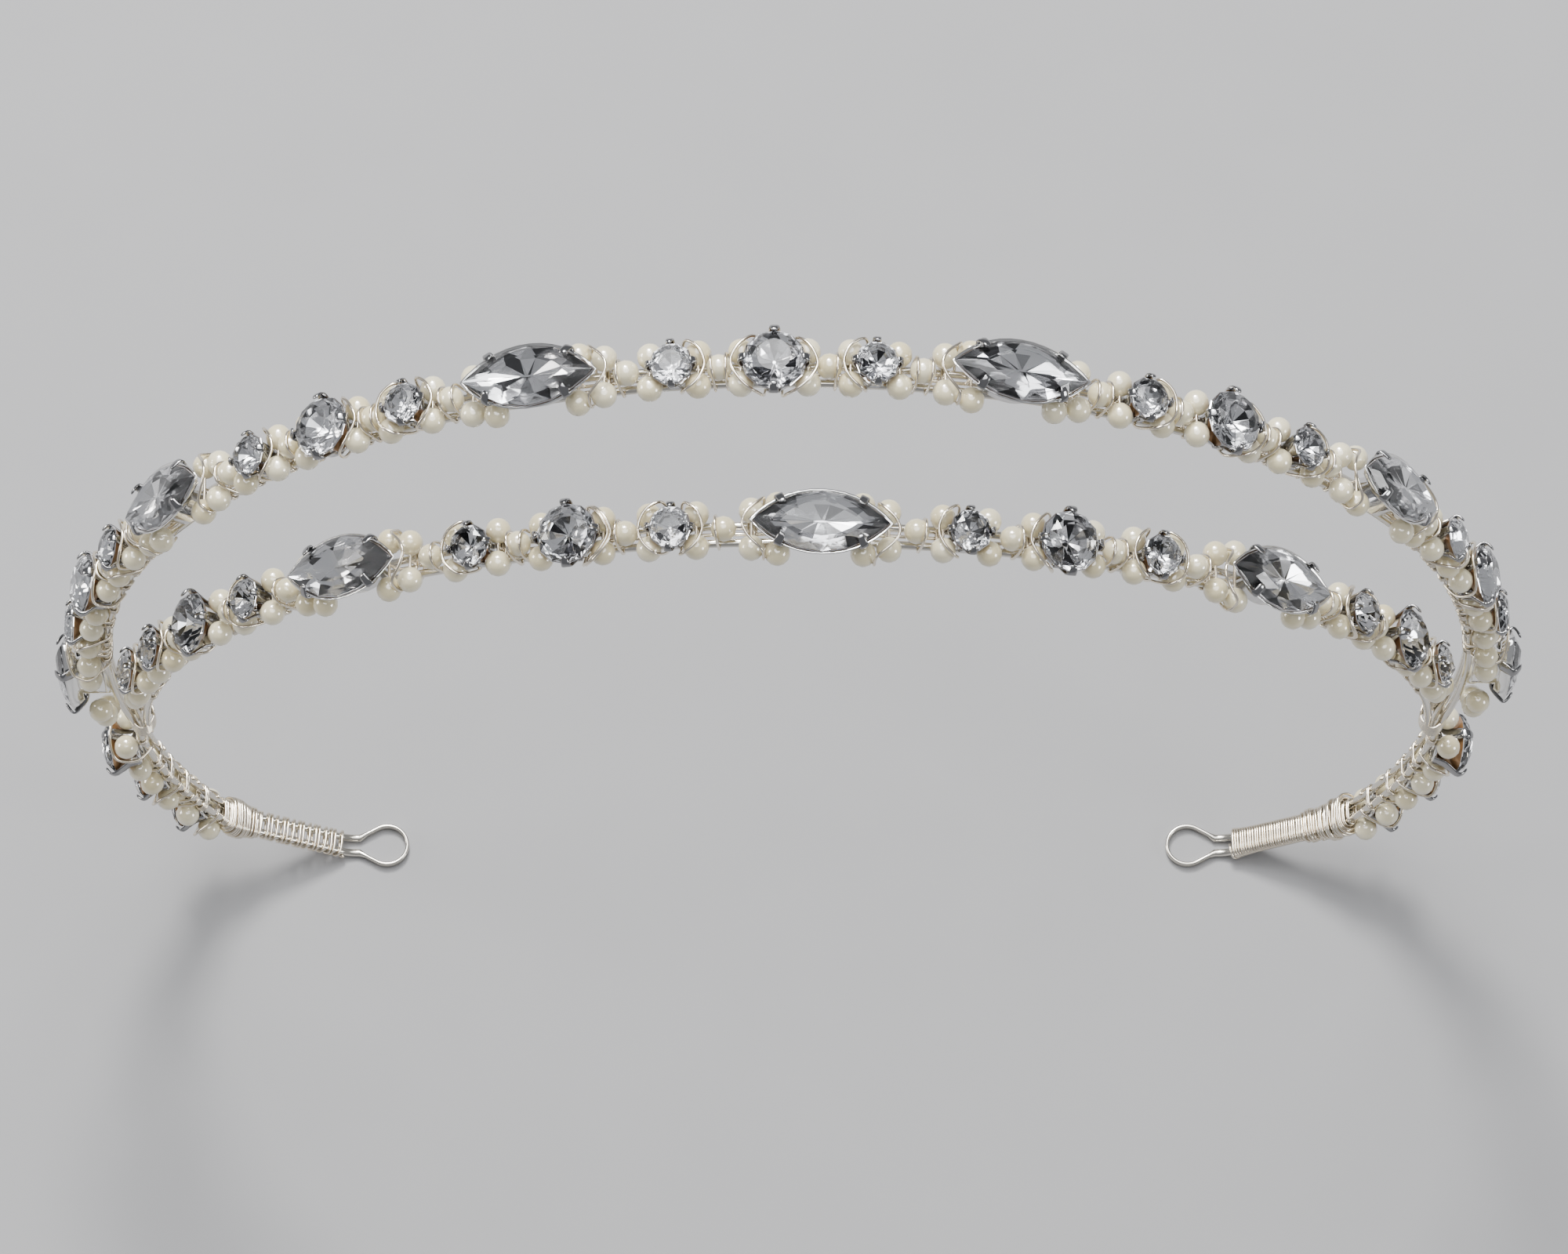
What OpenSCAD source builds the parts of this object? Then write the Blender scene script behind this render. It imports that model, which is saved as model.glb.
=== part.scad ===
// Double bridal headband: claw-set crystals and pearls on two wire bands, standing on its end loops.
// X runs from ear to ear, Z is up, and the front band is on the -Y side.

/* [Bands] */
// Radius of the rear band, through the pearls
rear_r = 79.5; // [76:0.5:84]
// Height of the rear band's top above the joints of the bands
rear_rise = 97; // [92:0.5:102]
// Height of the front band above the joints, along its own plane
front_rise = 74.5; // [70:0.5:78]
// Inset of the front band from the rear one at the joints
front_inset = 1.25; // [1.2:0.05:1.4]
// Backward lean of the rear band, in degrees
rear_lean = 1; // [0:0.25:2]
// Forward lean of the front band, in degrees
front_lean = 5.5; // [4:0.5:8]

/* [Spacing of the stones] */
// Rear band, from a round stone to the next round one
rear_round_step = 10.6; // [10.5:0.1:11]
// Rear band, from a round stone to a marquise
rear_long_step = 14.9; // [14.6:0.1:15.2]
// Front band, from a round stone to the next round one
front_round_step = 11.2; // [10.6:0.1:11.3]
// Front band, from a round stone to a marquise
front_long_step = 15.9; // [14.8:0.1:16]
// Shift of the rear band's stones along the band, towards the right when above 0
rear_shift = -1.4; // [-2:0.1:1]
// Shift of the front band's stones along the band
front_shift = 3.5; // [1.5:0.1:4]
// From the front band's left-hand end stone to the one before it
last_step = 9.6; // [8:0.1:10]
// First stone of each short end, below the joint
end_first = 8; // [8:0.1:8.4]

/* [Ends] */
// Radius of the short ends below the joints
end_r = 75; // [70:1:85]
// Direction in which the ends leave the joints, 90 being straight down
end_from_deg = 93; // [91:0.5:96]
// Direction in which they reach the arms
end_to_deg = 118; // [116:0.5:120]
// Radius of the bend into each arm, through the wires
arm_bend_r = 7; // [6:0.5:9]
// Direction of the arms, 180 being level towards the middle
arm_deg = 146; // [140:1:152]
// Straight length of each arm
arm_len = 13; // [11:0.5:16]
// Radius of the bend down to the loop, through the wires
foot_r = 4; // [3:0.5:6]
// Length of each loop
loop_len = 6.3; // [6:0.1:8]
// Width and thickness of the flat wire of a loop
loop_wire = 1; // [1:0.05:1.1]
// Width of each loop, outside
loop_w = 5.9; // [5.6:0.1:7]

/* [Wires] */
// Diameter of the frame wire
wire_d = 0.9; // [0.8:0.05:1]
// Distance between the two frame wires
wire_pitch = 1.9; // [1.8:0.05:2]
// Depth of the frame wires under the pearls' centres
rail_depth = 1.9; // [1.85:0.05:2]
// Diameter of the thread's core
core_d = 0.4; // [0.3:0.05:0.45]
// Diameter of the thread through the pearls
thread_d = 0.32; // [0.25:0.01:0.35]

/* [Pearls] */
// Diameter of a pearl
pearl_d = 2.75; // [2.6:0.05:2.8]
// Diameter of a pearl's drilled hole
pearl_hole_d = 0.64; // [0.6:0.02:0.8]
// Distance of the two outer rows from the band's middle
row_y = 1.85; // [1.8:0.05:2]
// Height of the single pearls above the rows
single_lift = 0.35; // [0:0.05:0.5]

/* [Stones] */
// Length of a marquise stone
marquise_len = 14.8; // [14:0.1:15]
// Width of a marquise stone
marquise_w = 6.8; // [6.4:0.1:6.9]
// Diameter of a large round stone
large_d = 6.7; // [6.4:0.1:6.8]
// Diameter of a small round stone
small_d = 4.6; // [4.4:0.1:4.7]

/* [Hidden] */
$fn = 32;
silver = "#d8d6d2";
ivory = "#efe7d4";
crystal = "#dfe9ee";
eps = 0.01;

// Kinds of stone, from the middle of each band outwards, and from the joint down each end
rear_kinds = ["large", "small", "marquise", "small", "large", "small",
              "marquise", "small", "large", "small", "marquise"];
front_kinds = ["marquise", "small", "large", "small", "marquise", "small", "large", "small"];
end_kinds = ["large", "small", "small"];

// The curve of each band: radius, height of its centre over the joints, and where it ends
joint_x = sqrt(rear_r * rear_r - pow(rear_rise - rear_r, 2));
rear_centre = rear_rise - rear_r;
rear_end_deg = 90 + asin(rear_centre / rear_r);
front_x = joint_x - front_inset;
front_r = (front_rise * front_rise + front_x * front_x) / (2 * front_rise);
front_centre = front_rise - front_r;
// The front wires run a little way below the joint
front_tail = 1.4;
front_end_deg = 90 + asin((front_centre + front_tail) / (front_r - rail_depth));

// Points are [x, height over the joints]; a bend of radius r at angle a has its centre r inwards
function outward(a) = [sin(a), cos(a)];
function along(a) = [cos(a), -sin(a)];
end_c = [joint_x, 0] - end_r * outward(end_from_deg);
end_p = end_c + (end_r - rail_depth) * outward(end_to_deg);
arm_bend_c = end_p - arm_bend_r * outward(end_to_deg);
arm_p = arm_bend_c + arm_bend_r * outward(arm_deg);
arm_q = arm_p + arm_len * along(arm_deg);
foot_c = arm_q - foot_r * outward(arm_deg);
foot_q = foot_c - [0, foot_r];
wire_r = wire_d / 2;
// Moves the headband so that the middle of its depth is at Y = 0
middle_y = 2.07;
// Space between the wires' ends and the loops' legs
loop_gap = 0.12;
// The leaned wires stay this much above the flat loops, so that only the loops meet the surface
foot_lift = 0.02;
joint_z = wire_r + foot_lift - foot_q[1];

// Places of the stones
function step(a, b, short, long) = (a == "marquise" || b == "marquise") ? long : short;
function reach(kinds, short, long, i) =
    i == 0 ? 0 : reach(kinds, short, long, i - 1) + step(kinds[i - 1], kinds[i], short, long);
function half_places(kinds, short, long) =
    [for (i = [0 : len(kinds) - 1]) [kinds[i], reach(kinds, short, long, i)]];
function both_halves(half, shift) = concat(
    [for (i = [len(half) - 1 : -1 : 1]) [half[i][0], shift - half[i][1]]],
    [for (h = half) [h[0], shift + h[1]]]);
rear_stones = both_halves(half_places(rear_kinds, rear_round_step, rear_long_step), rear_shift);
front_strung = both_halves(half_places(front_kinds, front_round_step, front_long_step), front_shift);
// One more small stone ends the front band on the left
front_stones = concat([["small", front_strung[0][1] - last_step]], front_strung);
end_stones = [for (i = [0 : len(end_kinds) - 1]) [end_kinds[i], end_first + i * rear_round_step]];

// Pearls beside a stone: along the band and across it, from the stone's middle
function beside(kind) =
    kind == "marquise" ? [[4.6, 2.7], [7.4, 2.1]] :
    kind == "large" ? [[3.52, row_y]] : [[2.58, row_y]];
function last_beside(kind) = beside(kind)[len(beside(kind)) - 1][0];
function pearl_pairs(stones) = [
    for (i = [0 : len(stones) - 1], side = [-1, 1])
        if ((i > 0 || side > 0) && (i < len(stones) - 1 || side < 0))
            for (b = beside(stones[i][0])) [stones[i][1] + side * b[0], b[1]]];
function pearl_singles(stones) = [
    for (i = [0 : len(stones) - 2])
        (stones[i][1] + last_beside(stones[i][0]) + stones[i + 1][1] - last_beside(stones[i + 1][0])) / 2];

// Planes and places on them
module rear_plane() {
    translate([0, middle_y, 0]) rotate([-rear_lean, 0, 0]) translate([0, 0, joint_z]) children();
}
module front_plane() {
    rear_plane() rotate([rear_lean + front_lean, 0, 0]) children();
}
module on_arc(centre_x, centre_z, r, angle) {
    translate([centre_x, 0, centre_z]) rotate([0, angle, 0]) translate([0, 0, r]) children();
}
module on_rear(s) {
    rear_plane() on_arc(0, rear_centre, rear_r, s / rear_r * 180 / PI) children();
}
module on_front(s) {
    front_plane() on_arc(0, front_centre, front_r, s / front_r * 180 / PI) children();
}
module on_end(side, s) {
    rear_plane() mirror([side < 0 ? 1 : 0, 0, 0])
        on_arc(end_c[0], end_c[1], end_r, end_from_deg + s / end_r * 180 / PI) children();
}
module both_sides() {
    children();
    mirror([1, 0, 0]) children();
}

// A bent bar whose section is the 2D child, from one angle to another round [x, z]
module bent(c, r, from, to, y = 0) {
    translate([c[0], y, c[1]]) rotate([90, 0, 0]) rotate([0, 0, 90 - to])
        rotate_extrude(angle = to - from) translate([r, 0]) children();
}
module rounded(w, h, r) {
    square([w - 2 * r, h], center = true);
    square([w, h - 2 * r], center = true);
    for (x = [-1, 1], y = [-1, 1]) translate([x * (w / 2 - r), y * (h / 2 - r)]) circle(r);
}
// A sleeve's section: it holds the two frame wires, with this much room and wall
module sleeve_2d(room, wall) {
    h = wire_d + 2 * room;
    w = wire_pitch + h;
    difference() {
        rounded(h + 2 * wall, w + 2 * wall, h / 2 + wall - 0.05);
        rounded(h, w, h / 2 - 0.05);
    }
}

module bead(p, y, extra) {
    translate([p[0], y, p[1]]) sphere(r = wire_r + extra);
}
// The frame: two wires along the rear band and down each end to its loop
module frame_strand(y) {
    bent([0, rear_centre], rear_r - rail_depth, -rear_end_deg, rear_end_deg, y) circle(d = wire_d);
    both_sides() {
        bent(end_c, end_r - rail_depth, end_from_deg, end_to_deg, y) circle(d = wire_d);
        bent(arm_bend_c, arm_bend_r, end_to_deg, arm_deg, y) circle(d = wire_d);
        translate([arm_p[0], y, arm_p[1]]) rotate([0, 90 + arm_deg, 0])
            cylinder(h = arm_len, d = wire_d);
        bent(foot_c, foot_r, arm_deg, 180, y) circle(d = wire_d);
        // Solder at the joint, and a trace of it where one bend meets the next
        bead(end_c + (end_r - rail_depth) * outward(end_from_deg), y, 0.06);
        for (p = [end_p, arm_p, arm_q]) bead(p, y, 0.03);
    }
}
// The loop lies flat: two straight legs go on from the wires' ends to a round end
module loop(side) {
    half = loop_wire / 2;
    y0 = wire_pitch / 2;
    r = loop_w / 2 - half;
    d = loop_len - r - half;
    lead = asin(r / norm([d, y0])) - atan2(y0, d);
    function edge(k) = concat(
        [[0, y0 + k / cos(lead)]],
        [for (i = [0 : 32]) let (a = 90 - lead + i * (180 + 2 * lead) / 32)
            [(r + k) * cos(a) - d, (r + k) * sin(a)]],
        [[0, -y0 - k / cos(lead)]]);
    outer = edge(half);
    inner = edge(-half);
    color(silver) mirror([side < 0 ? 1 : 0, 0, 0])
        translate([foot_q[0] - loop_gap, middle_y, 0]) linear_extrude(loop_wire)
            polygon(concat(outer, [for (i = [len(inner) - 1 : -1 : 0]) inner[i]]));
}
module frame_wire() {
    // Solder holds the two wires together under each wrap
    solder = arm_p + arm_len / 2 * along(arm_deg);
    color(silver) rear_plane() {
        for (side = [-1, 1]) frame_strand(side * wire_pitch / 2);
        both_sides() translate([solder[0], 0, solder[1]]) rotate([90, 0, 0])
            cylinder(h = wire_pitch, d = wire_d - 0.2, center = true);
    }
}
module front_rails() {
    color(silver) front_plane() for (side = [-1, 1])
        bent([0, front_centre], front_r - rail_depth, -front_end_deg, front_end_deg,
             side * wire_pitch / 2) circle(d = wire_d);
}

// Fine wire bound round the four wires where the bands join
module binding() {
    wall = 0.35;
    w = 2.95;
    d = 3.7;
    h = 2.6;
    color(silver) rear_plane() translate([joint_x - rail_depth - 0.62, -0.05, -1.1]) difference() {
        linear_extrude(h) rounded(w + 2 * wall, d + 2 * wall, 1.2);
        translate([0, 0, -eps]) linear_extrude(h + 2 * eps) rounded(w, d, 0.85);
    }
}
// Fine wire wound round the arm: a thick start over the bend, then even turns
module wrap() {
    room = 0.15;
    thick = 0.6;
    thin = 0.22;
    rib = 0.4;
    rib_pitch = 0.65;
    start = 2.4;
    stop = arm_len - 0.4;
    color(silver) rear_plane() {
        bent(arm_bend_c, arm_bend_r, end_to_deg + 3, arm_deg) sleeve_2d(room, thick);
        // Each length starts inside the wall of the one before
        translate([arm_p[0], 0, arm_p[1]]) rotate([0, 90 + arm_deg, 0]) {
            translate([0, 0, -0.3]) linear_extrude(start + 0.3) sleeve_2d(room + 0.04, thick - 0.08);
            translate([0, 0, start - 0.3]) linear_extrude(stop - start + 0.3)
                sleeve_2d(room + 0.08, thin);
            for (z = [start + 0.3 : rib_pitch : stop - rib])
                translate([0, 0, z]) linear_extrude(rib) sleeve_2d(room + 0.12, thin + 0.1);
        }
    }
}

// Round settings: a cup with a flared rim and four claws. z = 0 is the pearls' height
seat_z = 0.33 + wire_r - rail_depth;
module round_setting(d, base_r, flare_z) {
    rim = d / 2 + 0.4;
    wall = 0.28;
    girdle = flare_z + 1.2;
    rotate_extrude() polygon([
        [0, seat_z], [base_r, seat_z], [base_r, flare_z], [rim, flare_z + 0.8], [rim, girdle],
        [rim - wall, girdle], [rim - wall, flare_z + 0.9], [base_r - wall, flare_z + 0.1],
        [base_r - wall, seat_z + 0.5], [0, seat_z + 0.5]]);
    for (turn = [0 : 90 : 270]) rotate([0, 0, turn])
        claw(d / 2, d == small_d ? 2.15 : 2.1, rim - 0.12, girdle - 0.4, d == small_d ? 0.8 : 1);
}
// A claw stands on the rim's wall at radius x and leans its tip in along the stone's crown.
// The stone's edge is at radius edge_r and height edge_z
module claw(edge_r, edge_z, x, low, tip, crown_deg = 51) {
    w = 0.75;
    t = 0.3;
    gap = 0.13;
    n = [sin(crown_deg), cos(crown_deg)];
    up = [-cos(crown_deg), sin(crown_deg)];
    line = [edge_r, edge_z] + gap * n;
    foot = line + up * (line[0] - x) / cos(crown_deg);
    bend = foot + t * tan((90 - crown_deg) / 2) * [0, 1] + [t, 0];
    translate([0, w / 2, 0]) rotate([90, 0, 0]) linear_extrude(w)
        polygon([[x, low], [x + t, low], bend, line + tip * up + t * n, line + tip * up, foot]);
}
// A lens whose outline is two arcs: half-width b at height 0 and the arcs' centres off at c
module lens_cone(h, r1, r2, c) {
    intersection() {
        translate([0, c, 0]) cylinder(h = h, r1 = r1, r2 = r2, $fn = 96);
        translate([0, -c, 0]) cylinder(h = h, r1 = r1, r2 = r2, $fn = 96);
    }
}
module marquise_setting() {
    a = marquise_len / 2 + 0.2;
    b = marquise_w / 2 + 0.12;
    r = (a * a + b * b) / (2 * b);
    c = r - b;
    wall = 0.35;
    low = 1.55;
    high = 2.75;
    slope = 1.05;
    floor_t = 0.3;
    difference() {
        translate([0, 0, low]) lens_cone(high - low, r + wall - slope * (high - low), r + wall, c);
        translate([0, 0, low + floor_t])
            lens_cone(high - low, r - slope * (high - low - floor_t), r + slope * floor_t, c);
    }
    translate([0, 0, seat_z]) lens_cone(low + 0.15 - seat_z, 5, 5, 5 - 2);
    for (half = [90, 270], turn = [-27, 27])
        rotate([0, 0, half]) translate([-c, 0, 0]) rotate([0, 0, turn])
            claw(r - 0.24, 2.95, r + wall - 0.12, high - 0.6, 1.1, 45);
}
module setting(kind) {
    color(silver)
        if (kind == "marquise") marquise_setting();
        else if (kind == "large") round_setting(large_d, 2.45, 0.8);
        else round_setting(small_d, 1.65, 0.85);
}
module settings_rear() {
    for (s = rear_stones) on_rear(s[1]) setting(s[0]);
}
module settings_front() {
    for (s = front_stones) on_front(s[1]) setting(s[0]);
}
module settings_ends() {
    for (side = [-1, 1], s = end_stones) on_end(side, s[1]) setting(s[0]);
}

// Cut stones: rings of n corners, each ring turned half a step from the last, closed top and bottom.
// A ring is [length factor, width factor, z, turned]
module cut_stone(a, b, n, pointed, rings) {
    function corner(t) = [a * cos(t), pointed ? b * sin(t) * abs(sin(t)) : b * sin(t)];
    function ring(k) = [
        for (i = [0 : n - 1])
            let (t = 360 * (i + rings[k][3] / 2) / n, p = corner(t))
            [rings[k][0] * p[0], rings[k][1] * p[1], rings[k][2]]];
    points = [for (k = [0 : len(rings) - 1]) each ring(k)];
    last = len(rings) - 1;
    sides = [
        for (k = [0 : last - 1], i = [0 : n - 1])
            let (j = (i + 1) % n, p = k * n, q = (k + 1) * n)
            each (rings[k][3] == rings[k + 1][3] ? [[p + i, p + j, q + j], [p + i, q + j, q + i]]
                : rings[k][3] == 0 ? [[p + i, p + j, q + i], [q + i, p + j, q + j]]
                : [[p + i, p + j, q + j], [p + i, q + j, q + i]])];
    top = [for (i = [n - 1 : -1 : 0]) i];
    bottom = [for (i = [0 : n - 1]) last * n + i];
    polyhedron(points = points, faces = concat([top], sides, [bottom]), convexity = 2);
}
module stone(kind) {
    color(crystal)
        if (kind == "marquise")
            cut_stone(marquise_len / 2, marquise_w / 2, 16, true, [
                [0.62, 0.62, 3.95, 0], [0.82, 0.84, 3.5, 1], [1, 1, 2.95, 0], [1, 1, 2.78, 0],
                [0.35, 0.35, 2.0, 0]]);
        else if (kind == "large")
            cut_stone(large_d / 2, large_d / 2, 12, false, [
                [0.55, 0.55, 3.3, 0], [0.82, 0.82, 2.85, 1], [1, 1, 2.1, 0], [1, 1, 1.9, 0],
                [0.08, 0.08, -0.1, 0]]);
        else
            cut_stone(small_d / 2, small_d / 2, 10, false, [
                [0.55, 0.55, 2.95, 0], [0.82, 0.82, 2.65, 1], [1, 1, 2.15, 0], [1, 1, 1.98, 0],
                [0.08, 0.08, 0.5, 0]]);
}
module rear_stone(i) {
    on_rear(rear_stones[i][1]) stone(rear_stones[i][0]);
}
module front_stone(i) {
    on_front(front_stones[i][1]) stone(front_stones[i][0]);
}
module end_stone(side, i) {
    on_end(side, end_stones[i][1]) stone(end_stones[i][0]);
}

// Pearls: the pairs are drilled across the band, the single ones through its thickness
module paired_pearls(y) {
    for (side = [-1, 1]) translate([0, side * y, 0]) difference() {
        sphere(d = pearl_d);
        rotate([90, 0, 0]) cylinder(h = pearl_d + 1, d = pearl_hole_d, center = true);
    }
}
module single_pearl() {
    translate([0, 0, single_lift]) difference() {
        sphere(d = pearl_d);
        cylinder(h = pearl_d + 1, d = pearl_hole_d, center = true);
    }
}
module pearls_rear() {
    color(ivory) {
        for (p = pearl_pairs(rear_stones)) on_rear(p[0]) paired_pearls(p[1]);
        for (s = pearl_singles(rear_stones)) on_rear(s) single_pearl();
    }
}
module pearls_front() {
    color(ivory) {
        for (p = pearl_pairs(front_strung)) on_front(p[0]) paired_pearls(p[1]);
        for (s = pearl_singles(front_strung)) on_front(s) single_pearl();
    }
}

// The thread: a core between the frame wires, with a stem to each single pearl and each pair
module pair_thread(y) {
    translate([0, 0, -rail_depth]) cylinder(h = rail_depth, d = thread_d + 0.04);
    rotate([90, 0, 0]) cylinder(h = 2 * y + 0.8, d = thread_d, center = true);
}
module single_thread() {
    translate([0, 0, -rail_depth]) cylinder(h = rail_depth + single_lift + 0.9, d = thread_d);
}
module core(stones, centre, r) {
    ends = [stones[0][1], stones[len(stones) - 1][1]] / r * 180 / PI;
    bent([0, centre], r - rail_depth, ends[0], ends[1]) circle(d = core_d);
}
module thread_rear() {
    color(silver) {
        rear_plane() core(rear_stones, rear_centre, rear_r);
        for (p = pearl_pairs(rear_stones)) on_rear(p[0]) pair_thread(p[1]);
        for (s = pearl_singles(rear_stones)) on_rear(s) single_thread();
    }
}
module thread_front() {
    color(silver) {
        front_plane() core(front_stones, front_centre, front_r);
        for (p = pearl_pairs(front_strung)) on_front(p[0]) pair_thread(p[1]);
        for (s = pearl_singles(front_strung)) on_front(s) single_thread();
    }
}

METALWORK = ["frame_wire", "loop_left", "loop_right", "front_rails",
             "settings_rear", "settings_front", "settings_ends",
             "pearls_rear", "pearls_front", "thread_rear", "thread_front",
             "binding_left", "binding_right", "wrap_left", "wrap_right"];
REAR = [for (i = [0 : len(rear_stones) - 1]) str("rear_", rear_stones[i][0], "_", i + 1)];
FRONT = [for (i = [0 : len(front_stones) - 1]) str("front_", front_stones[i][0], "_", i + 1)];
LEFT = [for (i = [0 : len(end_stones) - 1]) str("left_", end_stones[i][0], "_", i + 1)];
RIGHT = [for (i = [0 : len(end_stones) - 1]) str("right_", end_stones[i][0], "_", i + 1)];

frame_wire();
loop(-1);  // loop_left
loop(1);  // loop_right
front_rails();
settings_rear();
settings_front();
settings_ends();
pearls_rear();
pearls_front();
thread_rear();
thread_front();
mirror([1, 0, 0]) binding();  // binding_left
binding();  // binding_right
mirror([1, 0, 0]) wrap();  // wrap_left
wrap();  // wrap_right
for (i = [0 : len(REAR) - 1]) rear_stone(i);
for (i = [0 : len(FRONT) - 1]) front_stone(i);
for (i = [0 : len(LEFT) - 1]) end_stone(-1, i);
for (i = [0 : len(RIGHT) - 1]) end_stone(1, i);
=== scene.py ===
# Looks of a double bridal headband: cut crystals, ivory pearls and silver wire built round its frame
import math
import bpy
import numpy as np
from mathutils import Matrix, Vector


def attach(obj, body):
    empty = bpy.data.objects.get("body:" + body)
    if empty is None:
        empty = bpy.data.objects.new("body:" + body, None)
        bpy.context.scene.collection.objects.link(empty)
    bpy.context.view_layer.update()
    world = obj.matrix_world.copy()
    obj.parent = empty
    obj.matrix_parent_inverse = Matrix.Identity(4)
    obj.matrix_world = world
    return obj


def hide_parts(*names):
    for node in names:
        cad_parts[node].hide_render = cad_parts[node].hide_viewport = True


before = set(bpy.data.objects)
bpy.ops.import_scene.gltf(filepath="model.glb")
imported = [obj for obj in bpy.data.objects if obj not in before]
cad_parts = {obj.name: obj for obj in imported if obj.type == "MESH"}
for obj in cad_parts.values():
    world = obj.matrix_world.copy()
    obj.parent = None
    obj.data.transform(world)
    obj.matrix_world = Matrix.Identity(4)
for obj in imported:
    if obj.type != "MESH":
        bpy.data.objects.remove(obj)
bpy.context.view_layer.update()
print("frame loaded,", len(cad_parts), "nodes")

# Sizes in millimetres, as in the part's source; meshes are written in metres
metre = 0.001
band = {
    "rearRadius": 79.5, "rearRise": 97, "frontRise": 74.5, "frontInset": 1.25,  # through the pearls
    "rearLean": 1.0, "frontLean": 5.5,
    "railDepth": 1.9, "wirePitch": 1.9, "wireRadius": 0.45,
    "middleY": 2.07, "footLift": 0.02,
}
ends = {
    "radius": 75, "fromDeg": 93, "toDeg": 118,
    "armBend": 7, "armDeg": 146, "armLength": 13, "footBend": 4,
}
spacing = {
    "rearRound": 10.6, "rearLong": 14.9, "frontRound": 11.2, "frontLong": 15.9,
    "rearShift": -1.4, "frontShift": 3.5, "lastStep": 9.6, "endFirst": 8,
}
pearlSize = {"radius": 1.42, "rowY": 1.85, "singleLift": 0.35, "holeRadius": 0.3, "around": 12, "rings": 8}

# The curves of the bands and ends lie in the plane of the rear band: [across the head, height over the joints]


def outward(deg):
    # The direction from an arc's centre, at an angle from the top: its sine across and its cosine up
    a = np.radians(deg)
    return np.stack([np.sin(a), np.cos(a)], axis=-1)


def onward(deg):
    # The direction along the arc there: outward, a quarter turn on
    a = np.radians(deg)
    return np.stack([np.cos(a), -np.sin(a)], axis=-1)


rearCentre = band["rearRise"] - band["rearRadius"]
jointX = math.sqrt(band["rearRadius"] ** 2 - rearCentre ** 2)
frontX = jointX - band["frontInset"]
frontRadius = (band["frontRise"] ** 2 + frontX ** 2) / (2 * band["frontRise"])
frontCentre = band["frontRise"] - frontRadius
endCentre = np.array([jointX, 0]) - ends["radius"] * outward(ends["fromDeg"])
endPoint = endCentre + (ends["radius"] - band["railDepth"]) * outward(ends["toDeg"])
armBendCentre = endPoint - ends["armBend"] * outward(ends["toDeg"])
armStart = armBendCentre + ends["armBend"] * outward(ends["armDeg"])
armEnd = armStart + ends["armLength"] * onward(ends["armDeg"])
footCentre = armEnd - ends["footBend"] * outward(ends["armDeg"])
jointZ = band["wireRadius"] + band["footLift"] - (footCentre[1] - ends["footBend"])


def turnX(deg):
    a = math.radians(deg)
    return np.array([[1, 0, 0], [0, math.cos(a), -math.sin(a)], [0, math.sin(a), math.cos(a)]])


rearTurn = turnX(-band["rearLean"])
frontTurn = rearTurn @ turnX(band["rearLean"] + band["frontLean"])
jointOrigin = rearTurn @ np.array([0, 0, jointZ]) + np.array([0, band["middleY"], 0])


def arc(turn, centre, radius, start=0, side=1):
    # An arc that carries stones: its plane's turn, centre, radius through the pearls, start angle and side
    return {"turn": turn, "centre": centre, "radius": radius, "start": start, "side": side}


rearBand = arc(rearTurn, (0, rearCentre), band["rearRadius"])
frontBand = arc(frontTurn, (0, frontCentre), frontRadius)
leftEnd = arc(rearTurn, (-endCentre[0], endCentre[1]), ends["radius"], ends["fromDeg"], -1)
rightEnd = arc(rearTurn, tuple(endCentre), ends["radius"], ends["fromDeg"])


def placeOn(curve, s):
    # A frame at distance s along the curve: x onward, y across the band, z outward from the head
    a = curve["side"] * (math.radians(curve["start"]) + s / curve["radius"])
    axes = np.array([[math.cos(a), 0, math.sin(a)], [0, 1, 0], [-math.sin(a), 0, math.cos(a)]])
    spot = np.array([curve["centre"][0] + curve["radius"] * math.sin(a), 0,
                     curve["centre"][1] + curve["radius"] * math.cos(a)])
    return curve["turn"] @ axes, curve["turn"] @ spot + jointOrigin


# Places of the stones: kind and distance along the curve
rearKinds = ["large", "small", "marquise", "small", "large", "small",
             "marquise", "small", "large", "small", "marquise"]
frontKinds = ["marquise", "small", "large", "small", "marquise", "small", "large", "small"]


def halfPlaces(kinds, short, long):
    # From the middle stone outwards, with the longer step beside a marquise
    places, at = [(kinds[0], 0.0)], 0.0
    for before, kind in zip(kinds, kinds[1:]):
        at += long if "marquise" in (before, kind) else short
        places.append((kind, at))
    return places


def bothHalves(half, shift):
    return [(kind, shift - at) for kind, at in half[:0:-1]] + [(kind, shift + at) for kind, at in half]


rearStones = bothHalves(halfPlaces(rearKinds, spacing["rearRound"], spacing["rearLong"]),
                        spacing["rearShift"])
frontStrung = bothHalves(halfPlaces(frontKinds, spacing["frontRound"], spacing["frontLong"]),
                         spacing["frontShift"])
frontStones = [("small", frontStrung[0][1] - spacing["lastStep"])] + frontStrung
endStones = [(kind, spacing["endFirst"] + i * spacing["rearRound"])
             for i, kind in enumerate(["large", "small", "small"])]

# Pearls beside a stone: distance along the band and across it
besideStone = {
    "marquise": [(4.6, 2.7), (7.4, 2.1)],
    "large": [(3.52, pearlSize["rowY"])],
    "small": [(2.58, pearlSize["rowY"])],
}


def pearlPairs(stones):
    # Pairs on both sides of each stone, but for the outer sides of the first and last
    found = []
    for i, (kind, at) in enumerate(stones):
        for side in (-1, 1):
            if (i > 0 or side > 0) and (i < len(stones) - 1 or side < 0):
                found += [(at + side * x, y) for x, y in besideStone[kind]]
    return found


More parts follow.
